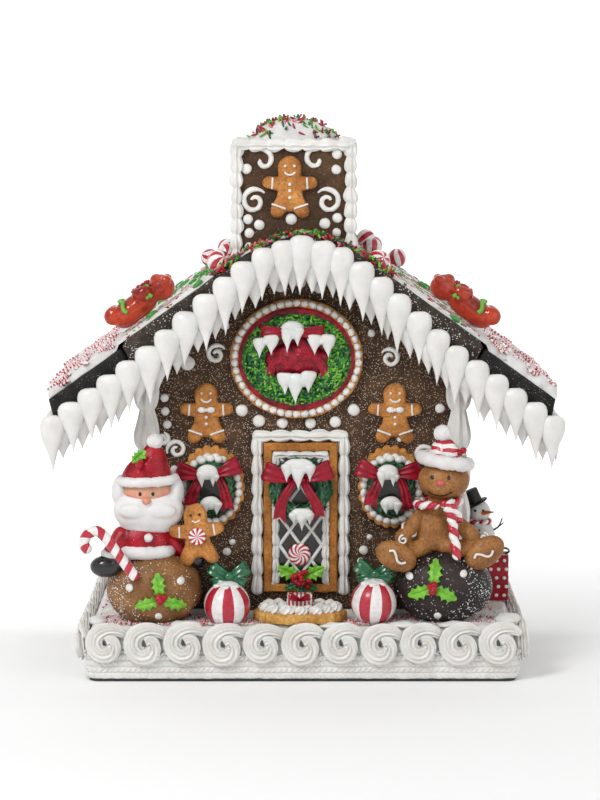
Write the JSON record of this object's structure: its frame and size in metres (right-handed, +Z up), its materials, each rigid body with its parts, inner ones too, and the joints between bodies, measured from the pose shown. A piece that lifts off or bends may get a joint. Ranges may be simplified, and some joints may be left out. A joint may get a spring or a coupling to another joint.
{
  "type": "gingerbread house",
  "caption": "Decorated gingerbread house on an iced board, with a gable roof, icing drips, a square chimney, wreathed windows and seated figures at the door.",
  "frame": {"origin": "under the middle of the board, on the surface that it stands on", "axes": "+Z up; the door faces -Y; +X is to the right of someone who looks at the door"},
  "size_m": [0.4158, 0.2804, 0.4413],
  "materials": {
    "board": "matt",
    "icing": "satin",
    "gingerbread": "matt, sugared",
    "dark_biscuit": "matt, sugared",
    "biscuit": "matt",
    "jelly": "gloss",
    "peppermint": "gloss",
    "wreath": "matt, sugared",
    "holly": "satin",
    "panes": "gloss",
    "red_icing": "satin",
    "paper": "satin"
  },
  "bodies": {
    "root": {"board": "board", "plinth_icing": "icing", "corner_piping_left_front": "icing", "corner_piping_left_back": "icing", "corner_piping_right_front": "icing", "corner_piping_right_back": "icing", "roof_icing_left": "icing", "roof_icing_right": "icing", "drips_front_left": "icing", "drips_front_right": "icing", "drips_back_left": "icing", "drips_back_right": "icing", "drips_eave_left": "icing", "drips_eave_right": "icing", "chimney_piping": "icing", "chimney_top": "icing", "door_piping": "icing", "step_cream": "icing", "figure_head": "icing", "snowman": "icing", "walls": "gingerbread", "chimney": "gingerbread", "roof_left_upper": "dark_biscuit", "roof_left_lower": "dark_biscuit", "roof_right_upper": "dark_biscuit", "roof_right_lower": "dark_biscuit", "ball_cookie_right": "dark_biscuit", "chimney_cookie": "biscuit", "wall_cookie_left": "biscuit", "wall_cookie_right": "biscuit", "round_window": "biscuit", "side_window_left": "biscuit", "side_window_right": "biscuit", "door": "biscuit", "step_cookie": "biscuit", "ball_cookie_left": "biscuit", "cookie_boy": "biscuit", "seated_figure": "biscuit", "jelly_bear_left": "jelly", "jelly_bear_right": "jelly", "peppermint_ball_left": "peppermint", "peppermint_ball_right": "peppermint", "door_peppermint": "peppermint", "candy_cane": "peppermint", "bauble_left": "peppermint", "bauble_right": "peppermint", "round_wreath": "wreath", "side_wreath_left": "wreath", "side_wreath_right": "wreath", "door_wreath": "wreath", "door_holly": "holly", "door_panes": "panes", "figure_coat": "red_icing", "figure_cap": "red_icing", "scarf": "red_icing", "striped_cap": "red_icing", "step_parcel": "paper", "side_parcel": "paper", "parcel_left": "paper", "parcel_right": "paper"}
  },
  "joints": []
}
